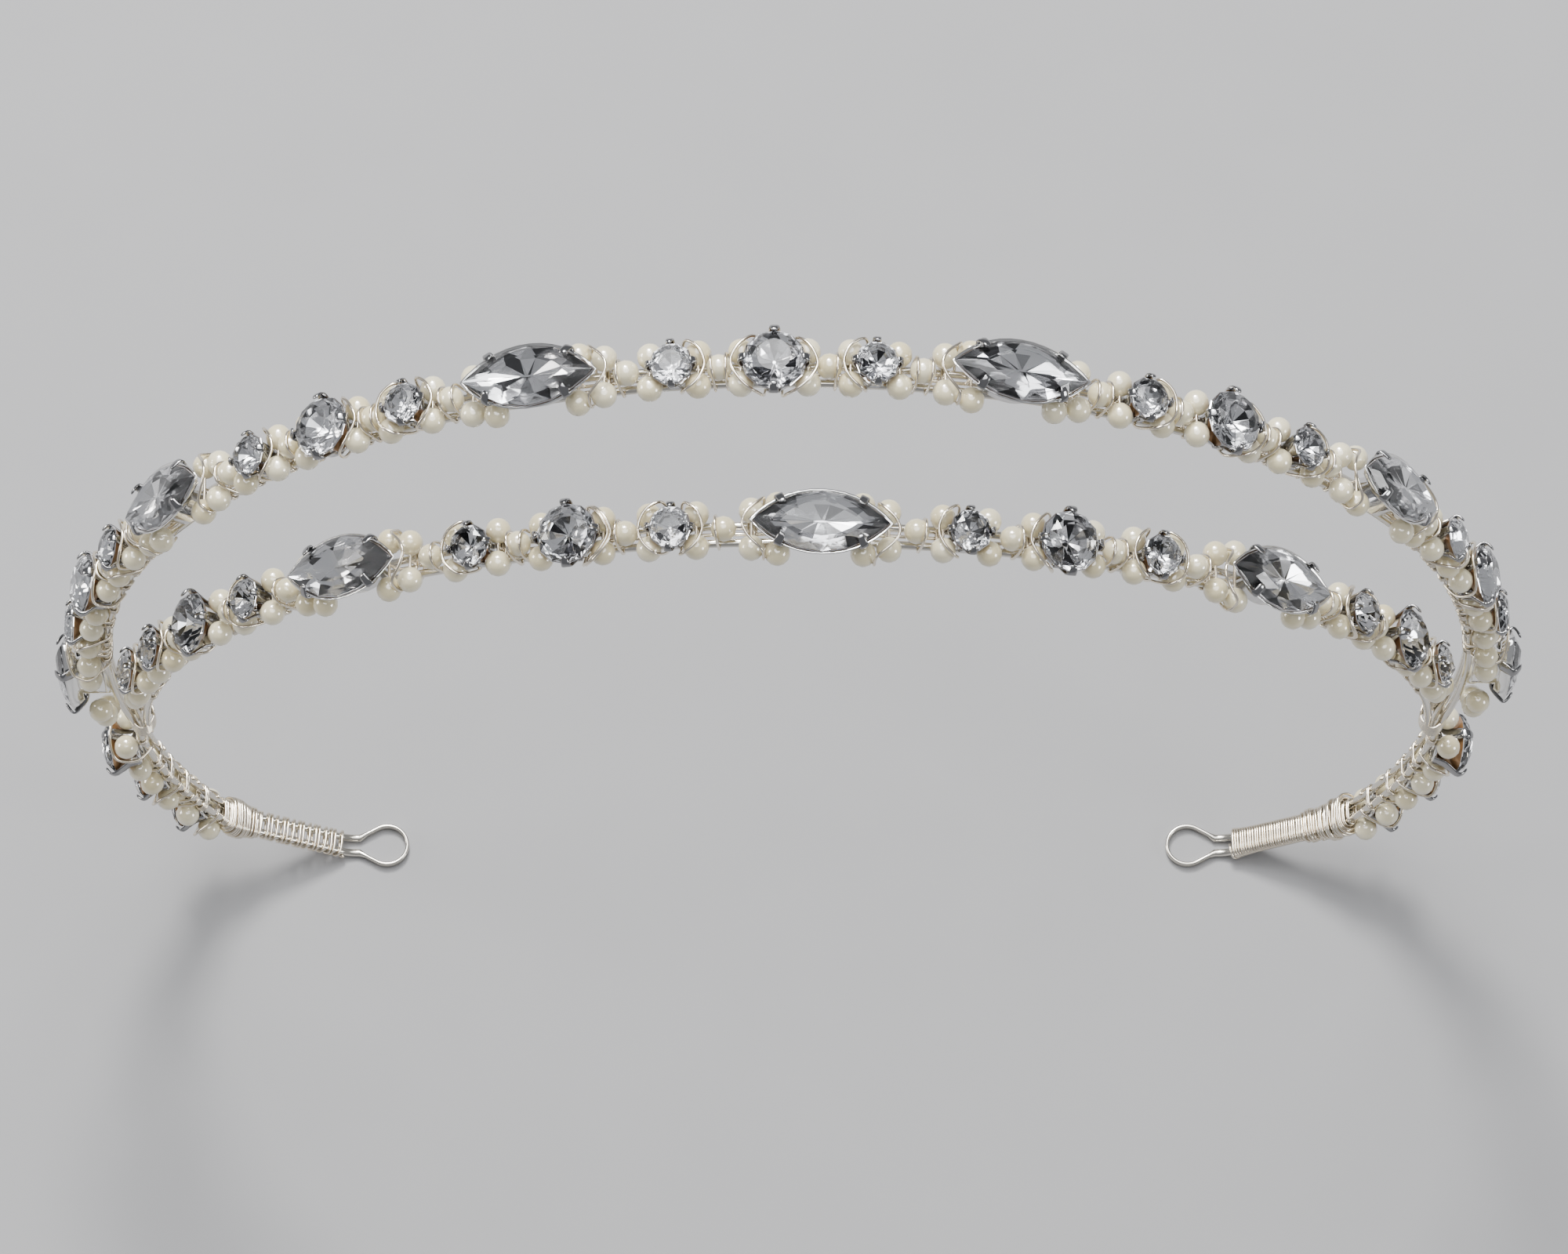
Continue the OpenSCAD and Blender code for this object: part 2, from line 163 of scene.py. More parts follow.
def pearlSingles(stones):
    # One pearl midway between the pairs of two neighbouring stones
    return [(a[1] + besideStone[a[0]][-1][0] + b[1] - besideStone[b[0]][-1][0]) / 2
            for a, b in zip(stones, stones[1:])]


rng = np.random.default_rng(20)  # the same draws on every run


class Shape:
    # Gathers grids of points as one mesh. A grid's rows run along the piece and its columns round it,
    # anticlockwise seen from the end of the rows, so that faces point outwards. Each face has a tone,
    # from 0 to 1, which the looks read, and a material slot
    plainTone, capTone = 0.5, 0.9

    def __init__(self):
        self.points, self.corners, self.sizes, self.tones, self.slots = [], [], [], [], []
        self.count = 0

    def faces(self, array, tone, slot):
        self.corners.append((array + self.count).ravel())
        self.sizes.append(np.full(len(array), array.shape[1]))
        self.tones.append(np.broadcast_to(tone, len(array)).astype(float))
        self.slots.append(np.full(len(array), slot))

    def grid(self, points, place=None, caps=True, tone=plainTone, slot=0):
        rows, cols = points.shape[:2]
        index = np.arange(rows * cols).reshape(rows, cols)
        after = np.roll(index, -1, axis=1)
        quads = np.stack([index[:-1], after[:-1], after[1:], index[1:]], axis=-1).reshape(-1, 4)
        self.faces(quads, tone, slot)
        if caps:
            self.faces(index[0, ::-1][None], tone, slot)
            self.faces(index[-1][None], tone, slot)
        self.put(points.reshape(-1, 3), place)

    def facets(self, rings, turned, place=None, tones=None, slots=0, caps=(True, True)):
        # Rings of equal count; between rings of which one is half a step on, the facets are triangles
        rows, cols = rings.shape[:2]
        slots = np.broadcast_to(slots, rows - 1)
        index = np.arange(rows * cols).reshape(rows, cols)
        for k in range(rows - 1):
            p, q = index[k], index[k + 1]
            pn, qn = np.roll(p, -1), np.roll(q, -1)
            tone = rng.choice(tones, cols) if tones is not None else self.plainTone
            if turned[k] == turned[k + 1]:
                self.faces(np.stack([p, pn, qn, q], axis=-1), tone, slots[k])
            elif turned[k] < turned[k + 1]:
                self.faces(np.stack([p, pn, q], axis=-1), tone, slots[k])
                self.faces(np.stack([q, pn, qn], axis=-1), np.roll(tone, 1), slots[k])
            else:
                self.faces(np.stack([p, qn, q], axis=-1), tone, slots[k])
                self.faces(np.stack([p, pn, qn], axis=-1), np.roll(tone, 1), slots[k])
        if caps[0]:
            self.faces(index[0, ::-1][None], self.capTone, slots[0])
        if caps[1]:
            self.faces(index[-1][None], self.capTone, slots[-1])
        self.put(rings.reshape(-1, 3), place)

    def put(self, points, place):
        if place is not None:
            turn, spot = place
            points = points @ turn.T + spot
        self.points.append(points)
        self.count += len(points)

    def make(self, name, materials, slotName, smooth=True, replaces=()):
        points = np.concatenate(self.points) * metre
        corners, sizes = np.concatenate(self.corners), np.concatenate(self.sizes)
        mesh = bpy.data.meshes.new(name)
        mesh.vertices.add(len(points))
        mesh.vertices.foreach_set("co", points.astype(np.float32).ravel())
        mesh.loops.add(len(corners))
        mesh.loops.foreach_set("vertex_index", corners.astype(np.int32))
        mesh.polygons.add(len(sizes))
        starts = np.concatenate([[0], np.cumsum(sizes)[:-1]])
        mesh.polygons.foreach_set("loop_start", starts.astype(np.int32))
        mesh.polygons.foreach_set("loop_total", sizes.astype(np.int32))
        mesh.polygons.foreach_set("material_index", np.concatenate(self.slots).astype(np.int32))
        mesh.polygons.foreach_set("use_smooth", np.full(len(sizes), smooth))
        mesh.update(calc_edges=True)
        tone = mesh.attributes.new("tone", "FLOAT", "FACE")
        tone.data.foreach_set("value", np.concatenate(self.tones).astype(np.float32))
        for material in materials:
            mesh.materials.append(material)
        piece = bpy.data.objects.new(name, mesh)
        bpy.context.scene.collection.objects.link(piece)
        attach(piece, "root")
        if replaces:
            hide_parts(*replaces)
        print(name, len(sizes), "faces")


def smoothPath(points, count):
    # A Catmull-Rom curve through the points, sampled evenly in its parameter
    points = np.asarray(points, float)
    padded = np.concatenate([2 * points[:1] - points[1:2], points, 2 * points[-1:] - points[-2:-1]])
    t = np.linspace(0, len(points) - 1, count)
    i = np.minimum(t.astype(int), len(points) - 2)
    u = (t - i)[:, None]
    a, b, c, d = padded[i], padded[i + 1], padded[i + 2], padded[i + 3]
    return 0.5 * (2 * b + (c - a) * u + (2 * a - 5 * b + 4 * c - d) * u ** 2
                  + (3 * b - a - 3 * c + d) * u ** 3)


def unit(vectors):
    return vectors / np.linalg.norm(vectors, axis=-1, keepdims=True)


def sweep(path, first, tall, wide, sides, power=1.0):
    # A section carried along the path: tall times cosine of v and wide times sine of v, each to the power
    # that makes it round (1) or nearly square (less); first is the direction of v = 0
    along = unit(np.gradient(path, axis=0))
    first = unit(first - np.sum(first * along, axis=1)[:, None] * along)
    second = np.cross(along, first)
    v = np.linspace(0, 2 * math.pi, sides, endpoint=False)
    tall, wide, power = [np.broadcast_to(x, len(path))[:, None, None] for x in (tall, wide, power)]
    c, s = [np.sign(w)[None, :, None] * np.abs(w)[None, :, None] ** power for w in (np.cos(v), np.sin(v))]
    return path[:, None] + tall * c * first[:, None] + wide * s * second[:, None]


def tube(path, radius, sides, hint):
    # A round wire; hint is a direction that the path never follows
    return sweep(path, np.broadcast_to(hint, path.shape).astype(float), radius, radius, sides)


strapSection = {"sides": 8, "squareness": 0.6}


def strap(path, width, thickness):
    # A rounded bar along a path in the plane of x and z: half the width times cosine of v lies along y and
    # half the thickness times sine of v across the path, each to a power that squares the section
    along = unit(np.gradient(path, axis=0))
    normal = np.stack([-along[:, 1], along[:, 0]], axis=1)
    sides = strapSection["sides"]
    v = np.linspace(0, 2 * math.pi, sides, endpoint=False) + math.pi / sides
    c, s = [np.sign(w) * np.abs(w) ** strapSection["squareness"] for w in (np.cos(v), np.sin(v))]
    offset = thickness[:, None] / 2 * s
    x = path[:, :1] + normal[:, :1] * offset
    z = path[:, 1:] + normal[:, 1:] * offset
    y = -width[:, None] / 2 * c
    return np.stack([x, y, z], axis=-1)


class Value:
    # A socket that carries a number; its operators add Math nodes
    def __init__(self, look, socket):
        self.look, self.socket = look, socket

    def math(self, operation, a, b):
        made = self.look.add("ShaderNodeMath", {"operation": operation}, {0: a, 1: b})
        return Value(self.look, made.outputs[0])

    def __add__(self, other): return self.math("ADD", self, other)
    def __radd__(self, other): return self.math("ADD", other, self)
    def __sub__(self, other): return self.math("SUBTRACT", self, other)
    def __rsub__(self, other): return self.math("SUBTRACT", other, self)
    def __mul__(self, other): return self.math("MULTIPLY", self, other)
    def __rmul__(self, other): return self.math("MULTIPLY", other, self)


class Look:
    # A material whose nodes are added by one method
    def __init__(self, name):
        self.material = bpy.data.materials.new(name)
        self.material.use_nodes = True
        self.tree = self.material.node_tree
        self.tree.nodes.clear()

    def add(self, kind, settings=None, values=None):
        node = self.tree.nodes.new(kind)
        for key, value in (settings or {}).items():
            setattr(node, key, value)
        for key, value in (values or {}).items():
            if isinstance(value, Value):
                value = value.socket
            if isinstance(value, bpy.types.NodeSocket):
                self.tree.links.new(value, node.inputs[key])
            else:
                node.inputs[key].default_value = value
        return node

    def spots(self, scale, detail=3):
        # Noise on object coordinates, from 0 to 1; scale is in cells per metre
        place = self.add("ShaderNodeTexCoord").outputs["Object"]
        noise = self.add("ShaderNodeTexNoise", {}, {"Vector": place, "Scale": scale, "Detail": detail})
        return Value(self, noise.outputs["Fac"])

    def faceTone(self):
        # The tone that Shape gives each face
        return Value(self, self.add("ShaderNodeAttribute", {"attribute_name": "tone"}).outputs["Fac"])

    def blend(self, factor, first, second):
        mixed = self.add("ShaderNodeMix", {"data_type": "RGBA"}, {0: factor, 6: first, 7: second})
        return mixed.outputs[2]

    def shade(self, values):
        surface = self.add("ShaderNodeBsdfPrincipled", {}, values)
        self.add("ShaderNodeOutputMaterial", {}, {"Surface": surface.outputs["BSDF"]})
        return self.material

    def bump(self, height, strength, distance):
        made = self.add("ShaderNodeBump", {}, {"Height": height, "Strength": strength, "Distance": distance})
        return made.outputs["Normal"]


def silverLook(name, light, dark, smoothness, paintedDarkReflection=None):
    # Silver plate: slow changes of colour, fine handling marks in the polish, and a painted dark reflection,
    # nearly black, where tone is low
    look = Look(name)
    wide, fine = look.spots(220), look.spots(2600, detail=4)
    plate = look.blend(wide, (*dark, 1), (*light, 1))
    # Where the face tone is low the plate is painted nearly black: a painted dark reflection
    if paintedDarkReflection:
        plate = look.blend(look.faceTone(), (*paintedDarkReflection, 1), plate)
    return look.shade({
        "Base Color": plate,
        "Metallic": 1.0,
        "Roughness": smoothness + 0.12 * fine * wide,
        "Normal": look.bump(fine, 0.25, 0.00003),
    })


def pearlLook():
    # Ivory nacre: each pearl a little different, a warm body under a broad satin sheen and a clear coat
    look = Look("ivoryPearl")
    tone = look.faceTone()
    cloud, grain = look.spots(420), look.spots(5200, detail=2)
    body = look.blend(cloud, (0.67, 0.575, 0.32, 1), (0.77, 0.68, 0.42, 1))
    return look.shade({
        "Base Color": look.blend(tone, body, (0.82, 0.75, 0.52, 1)),
        "Roughness": 0.24 + 0.1 * cloud,
        "Specular IOR Level": 1.0,
        "Specular Tint": (0.94, 0.93, 1.0, 1),
        "Coat Weight": 1.0,
        "Coat IOR": 2.2,
        "Coat Roughness": 0.03,
        "Sheen Weight": 0.1,
        "Sheen Roughness": 0.4,
        "Normal": look.bump(grain, 0.12, 0.00004),
    })


def crystalLook():
    # Clear lead glass with hardly any tint
    look = Look("clearCrystal")
    haze = look.spots(300)
    return look.shade({
        "Base Color": look.blend(haze, (0.975, 0.985, 0.99, 1), (1, 1, 1, 1)),
        "Roughness": 0.0,
        "Transmission Weight": 1.0,
        "IOR": 1.56,
    })


def foilLook():
    # The mirror foil under a stone, with painted reflections: some facets bright, some grey, a few dark
    look = Look("mirrorFoil")
    return look.shade({
        # The face tone paints each facet from nearly black to bright: painted reflections
        "Base Color": look.blend(look.faceTone(), (0.015, 0.015, 0.018, 1), (0.97, 0.97, 0.98, 1)),
        "Metallic": 0.96,  # the rest is haze
        "Roughness": 0.06 + 0.05 * look.spots(900),
    })


def lacquerLook():
    # The bronze lacquer on the back of the foil
    look = Look("bronzeLacquer")
    cloud = look.spots(700)
    return look.shade({
        "Base Color": look.blend(cloud, (0.25, 0.13, 0.055, 1), (0.43, 0.25, 0.11, 1)),
        "Metallic": 0.65,
        "Roughness": 0.28 + 0.1 * cloud,
        "Coat Weight": 0.4,
    })


# The near-black colour here is a painted dark reflection, laid on the claws through their low tone
plateSilver = silverLook("platedSetting", (0.93, 0.92, 0.90), (0.80, 0.79, 0.77), 0.07,
                         paintedDarkReflection=(0.12, 0.12, 0.13))
wireSilver = silverLook("platedWire", (0.83, 0.80, 0.73), (0.63, 0.59, 0.51), 0.14)
fineSilver = silverLook("fineWire", (0.93, 0.87, 0.76), (0.78, 0.69, 0.54), 0.16)
ivoryPearl = pearlLook()
clearCrystal = crystalLook()
mirrorFoil = foilLook()
bronzeLacquer = lacquerLook()
print("materials ready")

# Cut stones: each ring is [length factor, width factor, height, half step on], and a silvered facet's tone, its
# painted reflection from nearly black to bright, is drawn from tones
cuts = {
    "marquise": {"half": (7.4, 3.4), "corners": 16, "pointed": True, "uneven": 0.13,
                 "crown": [(0.60, 0.58, 3.95, 0), (0.81, 0.83, 3.52, 1), (1, 1, 2.95, 0), (1, 1, 2.80, 0)],
                 "pavilion": [(1, 1, 2.80, 0), (0.60, 0.56, 2.28, 1), (0.12, 0.03, 1.95, 0)],
                 "tones": [1, 1, 1, 1, 1, 1, 0.8, 0.45, 0.08]},
    "large": {"half": (3.35, 3.35), "corners": 12, "pointed": False, "uneven": 0.05,
              "crown": [(0.55, 0.55, 3.30, 0), (0.82, 0.82, 2.85, 1), (1, 1, 2.10, 0), (1, 1, 1.92, 0)],
              "pavilion": [(1, 1, 1.92, 0), (0.60, 0.60, 0.85, 1), (0.05, 0.05, -0.1, 0)],
              "tones": [1, 1, 1, 1, 1, 1, 0.8, 0.2, 0]},
    "small": {"half": (2.3, 2.3), "corners": 10, "pointed": False, "uneven": 0.04,
              "crown": [(0.55, 0.55, 2.95, 0), (0.82, 0.82, 2.65, 1), (1, 1, 2.15, 0), (1, 1, 2.0, 0)],
              "pavilion": [(1, 1, 2.0, 0), (0.60, 0.60, 1.25, 1), (0.05, 0.05, 0.55, 0)],
              "tones": [1, 1, 1, 1, 1, 1, 0.8, 0.2, 0]},
}
foil = {"gap": 0.03, "thickness": 0.07}


def stoneRings(cut, rings, gap=0.0):
    # Each ring is half the length times cosine and half the width times sine. On a pointed stone the width
    # goes as sine times its absolute value. The gap makes it wider and lower. The lowest ring comes first
    a, b = cut["half"]
    step = 2 * math.pi / cut["corners"]
    made = []
    for longer, broader, height, turned in rings:
        t = (np.arange(cut["corners"]) + turned / 2) * step
        across = np.sin(t) * np.abs(np.sin(t)) if cut["pointed"] else np.sin(t)
        made.append(np.stack([(longer * a + gap) * np.cos(t), (broader * b + gap) * across,
                              np.full(len(t), height - gap)], axis=-1))
    return np.array(made)[::-1], [ring[3] for ring in rings][::-1]


def addStone(glass, shell, kind, place):
    # The facets below the girdle are silvered on the glass itself (slot 1); a lacquered shell covers them
    cut = cuts[kind]
    rings, turned = stoneRings(cut, cut["crown"] + cut["pavilion"][1:])
    rings[1, :, 2] += cut["uneven"] * rng.uniform(0, 1, cut["corners"])  # no two facets lean alike
    glass.facets(rings, turned, place, tones=cut["tones"], slots=[1, 1, 0, 0, 0])
    inner, turned = stoneRings(cut, cut["pavilion"], foil["gap"])
    outer, turned = stoneRings(cut, cut["pavilion"], foil["gap"] + foil["thickness"])
    shell.facets(outer, turned, place, caps=(True, False))
    # The inner face is the same surface seen from above, so its rings run the other way
    shell.facets(inner[::-1], turned[::-1], place, caps=(False, True))
    rim = np.stack([outer[-1], inner[-1]])
    shell.grid(rim, place, caps=False, tone=shell.capTone, slot=1)


# Settings: a foot, and four claws that run up the stone's back and bend in over its edge
claws = {
    "large": {"path": [(0.9, -0.98), (2.2, -0.95), (2.5, 0.2), (3.2, 1.2), (3.72, 1.9), (3.66, 2.45),
                       (3.28, 2.82), (2.95, 3.02)],
              "width": [1.8, 1.8, 1.7, 1.5, 1.2, 0.95, 0.85, 0.5], "foot": 2.3},
    "small": {"path": [(0.6, -0.98), (1.5, -0.95), (1.65, 0.3), (2.1, 1.2), (2.62, 1.95), (2.58, 2.35),
                       (2.3, 2.66), (2.05, 2.84)],
              "width": [1.3, 1.3, 1.25, 1.15, 0.95, 0.8, 0.7, 0.4], "foot": 1.55},
    "marquise": {"path": [(-2.0, 1.35), (-1.1, 1.5), (-0.35, 2.1), (0.28, 2.75), (0.34, 3.1),
                          (0.05, 3.42), (-0.38, 3.72), (-0.78, 3.93)],
                 "width": [1.5, 1.5, 1.35, 1.1, 1.0, 0.95, 0.9, 0.6]},
}
# A claw's low tone paints it mostly nearly black: a painted dark reflection on the silver
clawForm = {"points": 14, "thickness": 0.3, "tip": 0.45, "tone": 0.25}
seatZ = 0.33 + band["wireRadius"] - band["railDepth"]
roundFoot = {"sides": 20, "profile": [(0.94, 0), (1, 0.1), (0.97, 0.3), (0.9, 0.42)]}  # [radius factor, height]
# The marquise's pan and its foot are lenses of two arcs. The foot is [arc radius, offset], its inside two radii
pan = {
    "halfLength": 7.6, "halfWidth": 3.52, "top": 2.75, "low": 1.55, "wall": 0.18, "slope": 1.05,
    "floor": 0.25, "foot": (5, 3), "footInside": (4.95, 4.6), "footWall": 0.2, "footFloor": 0.9,
    "arcPoints": 14, "clawLean": 27,
}


def turnZ(deg):
    a = math.radians(deg)
    return np.array([[math.cos(a), -math.sin(a), 0], [math.sin(a), math.cos(a), 0], [0, 0, 1]])


def within(place, turn, spot):
    # A place given inside another place
    return place[0] @ turn, place[0] @ np.asarray(spot, float) + place[1]


def addClaw(shape, spec, place):
    # A strap along the claw's smooth path, whose width follows the table and whose tip is thin
    count = clawForm["points"]
    path = smoothPath(spec["path"], count)
    width = np.interp(np.linspace(0, 1, count), np.linspace(0, 1, len(spec["width"])), spec["width"])
    thickness = np.full(count, clawForm["thickness"])
    thickness[-1] *= clawForm["tip"]
    shape.grid(strap(path, width, thickness), place, tone=clawForm["tone"])


def lensOutline(radius, offset, count):
    # Two arcs that meet in points: radius times sine and cosine, with each centre off the middle by the offset
    half = math.asin(math.sqrt(radius ** 2 - offset ** 2) / radius)
    t = np.linspace(-half, half, count + 1)[:-1]
    upper = np.stack([-radius * np.sin(t), radius * np.cos(t) - offset], axis=-1)
    return np.concatenate([upper, -upper])


def addRoundSetting(shape, spec, place):
    # A foot whose profile is turned about the stone's axis, and a claw in each quarter
    sides = roundFoot["sides"]
    v = np.linspace(0, 2 * math.pi, sides, endpoint=False)
    foot = np.array([[spec["foot"] * r * np.cos(v), spec["foot"] * r * np.sin(v), np.full(sides, seatZ + z)]
                     for r, z in roundFoot["profile"]]).transpose(0, 2, 1)
    shape.grid(foot, place, tone=1)
    for deg in (0, 90, 180, 270):
        addClaw(shape, spec, within(place, turnZ(deg), (0, 0, 0)))


def addPanSetting(shape, spec, place):
    # Lens outlines one above the other: up the foot and the pan's outside, over its rim and down its inside.
    # Two claws stand on each of the pan's two arcs
    radius = (pan["halfLength"] ** 2 + pan["halfWidth"] ** 2) / (2 * pan["halfWidth"])
    offset = radius - pan["halfWidth"]
    rise = pan["top"] - pan["low"]
    footRadius, footOffset = pan["foot"]
    rows = [(footRadius, footOffset, seatZ), (footRadius, footOffset, pan["low"]),
            (radius + pan["wall"] - pan["slope"] * rise, offset, pan["low"]),
            (radius + pan["wall"], offset, pan["top"]), (radius, offset, pan["top"]),
            (radius - pan["slope"] * (rise - pan["floor"]), offset, pan["low"] + pan["floor"]),
            (pan["footInside"][0], footOffset, pan["low"] + pan["footWall"]),
            (pan["footInside"][1], footOffset, pan["footFloor"])]
    dish = np.array([np.column_stack([lensOutline(r, c, pan["arcPoints"]), np.full(2 * pan["arcPoints"], z)])
                     for r, c, z in rows])
    shape.grid(dish, place, tone=1)
    for deg in (90, 270):
        for lean in (-pan["clawLean"], pan["clawLean"]):
            inside = within(place, turnZ(deg), (0, 0, 0))
            inside = within(inside, np.eye(3), (-offset, 0, 0))
            inside = within(inside, turnZ(lean), (0, 0, 0))
            addClaw(shape, spec, within(inside, np.eye(3), (radius, 0, 0)))


askew = {"roll": 1.4, "pitch": 1.0, "yaw": 2.0, "most": 1.5}


def tilted(place):
    # Hand-wired stones sit a degree or two askew
    drawn = np.clip(rng.normal(size=3), -askew["most"], askew["most"])
    roll, pitch, yaw = drawn * (askew["roll"], askew["pitch"], askew["yaw"])
    return within(place, turnZ(yaw) @ turnX(roll) @ turnX(90) @ turnZ(pitch) @ turnX(-90), (0, 0, 0))


def makeJewels(label, places, nodeNames, settingNodes):
    glass, shell, metal = Shape(), Shape(), Shape()
    for kind, place in places:
        place = tilted(place)
        addStone(glass, shell, kind, place)
        addSetting = addPanSetting if kind == "marquise" else addRoundSetting
        addSetting(metal, claws[kind], place)
    glass.make("crystals" + label, [clearCrystal, mirrorFoil], "crystal", smooth=False, replaces=nodeNames)
    shell.make("foils" + label, [bronzeLacquer, mirrorFoil], "setting", smooth=False)
    metal.make("settings" + label, [plateSilver], "setting", replaces=settingNodes)


def named(prefix, stones):
    return [f"{prefix}_{kind}_{i + 1}" for i, (kind, at) in enumerate(stones)]


makeJewels("Rear", [(k, placeOn(rearBand, s)) for k, s in rearStones],
           named("rear", rearStones), ["settings_rear"])
makeJewels("Front", [(k, placeOn(frontBand, s)) for k, s in frontStones],
           named("front", frontStones), ["settings_front"])
makeJewels("Ends", [(k, placeOn(end, s)) for end in (leftEnd, rightEnd) for k, s in endStones],
           named("left", endStones) + named("right", endStones), ["settings_ends"])


def addPearl(shape, place, drilledAcross):
    # A sphere that stops at its drilled hole: radius times sine and cosine of the angle from the hole's axis
    hole = math.asin(pearlSize["holeRadius"] / pearlSize["radius"])
    u = np.linspace(math.pi - hole, hole, pearlSize["rings"])[:, None]
    v = np.linspace(0, 2 * math.pi, pearlSize["around"], endpoint=False)[None]
    ball = pearlSize["radius"] * np.stack([np.sin(u) * np.cos(v), np.sin(u) * np.sin(v),
                                           np.cos(u) + 0 * v], axis=-1)
    if drilledAcross:
        ball = ball[..., [1, 2, 0]]
    shape.grid(ball, place, tone=rng.random())


def addPair(shape, curve, s, y):
    for side in (-1, 1):
        addPearl(shape, within(placeOn(curve, s), np.eye(3), (0, side * y, 0)), True)


def addSingle(shape, curve, s):
    addPearl(shape, within(placeOn(curve, s), np.eye(3), (0, 0, pearlSize["singleLift"])), False)


def makePearls(name, groups, replaces=()):
    shape = Shape()
    for curve, pairs, singles in groups:
        for s, y in pairs:
            addPair(shape, curve, s, y)
        for s in singles:
            addSingle(shape, curve, s)
    shape.make(name, [ivoryPearl], "pearl", replaces=replaces)


# Pearls past the last stones, measured from the stone
pastStone = {"pair": 5.4, "pairY": 1.45, "frontSingle": 8.2, "rearSingle": 9.9}
rearPairs, rearSingles = pearlPairs(rearStones), pearlSingles(rearStones)
frontPairs, frontSingles = pearlPairs(frontStrung), pearlSingles(frontStrung)
besideSmall, rowY = besideStone["small"][0]
leftLast, leftNext, rightLast = frontStones[0][1], frontStones[1][1], frontStones[-1][1]
frontEndPairs = [(leftNext - besideSmall, rowY), (leftLast + besideSmall, rowY), (leftLast - besideSmall, rowY),
                 (leftLast - pastStone["pair"], pastStone["pairY"]), (rightLast + besideSmall, rowY),
                 (rightLast + pastStone["pair"], pastStone["pairY"])]
frontEndSingles = [(leftLast + leftNext) / 2, rightLast + pastStone["frontSingle"]]
rearEndPairs = [(at + side * x, y) for side, at in ((-1, rearStones[0][1]), (1, rearStones[-1][1]))
                for x, y in besideStone["marquise"]]
rearEndSingles = [rearStones[0][1] - pastStone["rearSingle"], rearStones[-1][1] + pastStone["rearSingle"]]
endPairs = [(s + side * besideStone[kind][0][0], rowY) for kind, s in endStones for side in (-1, 1)]
endSingles = pearlSingles(endStones)
makePearls("pearlsRear", [(rearBand, rearPairs, rearSingles)], ["pearls_rear"])
makePearls("pearlsFront", [(frontBand, frontPairs, frontSingles)], ["pearls_front"])
makePearls("pearlsEnds", [(frontBand, frontEndPairs, frontEndSingles),
                          (rearBand, rearEndPairs, rearEndSingles),
                          (leftEnd, endPairs, endSingles), (rightEnd, endPairs, endSingles)])

# Fine wire: turns round the two frame wires below each pair of pearls, and hoops round pearls and stones
fine = {
    "radius": 0.15, "pitch": 0.33, "sides": 5, "segments": 12, "wireGap": 0.03, "crossing": 2.5,
    "fewest": 1.5, "outermost": 2.5,  # turns at least, and how far across the band a pair may sit to have them
}


def roundBothWires(t, hug):
    # Across the band: cosine steps from one frame wire to the other, then goes round it at the distance hug
    return band["wirePitch"] / 2 * np.tanh(fine["crossing"] * np.cos(t)) + hug * np.cos(t)


def addTurns(shape, curve, s, turns):
    # A flat helix round both frame wires, whose height is hug times sine
    count = int(turns * fine["segments"])
    t = np.linspace(0, 2 * math.pi * turns, count) + rng.random() * 6
    x = np.linspace(-0.5, 0.5, count) * turns * fine["pitch"]
    hug = band["wireRadius"] + fine["radius"] + fine["wireGap"]
    y = roundBothWires(t, hug)
    z = -band["railDepth"] + hug * np.sin(t)
    shape.grid(tube(np.stack([x, y, z], axis=-1), fine["radius"], fine["sides"], (1, 0, 0)),
               placeOn(curve, s))


# Hoops of fine wire, from a rail up beside the band to its middle: [along the band, across it, outward].
# They pass round one end of a stone, over the pearls there, or over one side of a single pearl
hoopForm = {
    "radius": 0.17, "sides": 6, "yaw": 4, "mostYaw": 1.5, "smoothness": 6,
    "twinShare": 0.15, "twinGap": 0.37, "twinLift": 0.04, "secondShare": 0.3,
}
hoops = {
    "large": [(0.9, 0.95, -2.52), (0.95, 1.65, -2.05), (1.1, 2.75, -1.0), (1.7, 3.1, 0.5),
              (2.6, 2.95, 1.42), (3.9, 1.7, 1.75), (4.6, 0, 1.65)],
    "small": [(0.6, 0.95, -2.52), (0.65, 1.6, -2.05), (0.75, 2.2, -0.9), (1.0, 2.75, 0.6),
              (1.6, 2.8, 1.47), (2.9, 1.75, 1.77), (3.5, 0, 1.65)],
    "marquise": [(5.6, 0.95, -2.52), (5.85, 1.7, -2.0), (6.05, 3.35, -0.4), (6.1, 3.2, 0.8),
                 (6.5, 2.7, 1.7), (7.9, 1.4, 2.1), (8.5, 0, 2.2)],
    "single": [(0.75, 0.95, -2.52), (0.75, 1.55, -2.0), (0.75, 1.55, -0.6), (0.75, 1.45, 0.6),
               (0.78, 0.95, 1.5), (0.8, 0, 1.82)],
}


def addHoop(shape, curve, s, kind, side):
    # A round wire along the table's half path and its mirror image across the band
    half = np.array(hoops[kind]) * (side, 1, 1)
    path = smoothPath(np.concatenate([half, half[-2::-1] * (1, -1, 1)]), hoopForm["smoothness"] * len(half))
    yaw = np.clip(rng.normal(), -hoopForm["mostYaw"], hoopForm["mostYaw"]) * hoopForm["yaw"]
    place = within(placeOn(curve, s), turnZ(yaw), (0, 0, 0))
    paths = [path]
    if kind != "single" and rng.random() < hoopForm["twinShare"]:  # a second turn beside the first
        paths.append(path + np.array([side * hoopForm["twinGap"], 0, hoopForm["twinLift"]]))
    for path in paths:
        shape.grid(tube(path, hoopForm["radius"], hoopForm["sides"], (1, 0, -0.5 * side)), place)


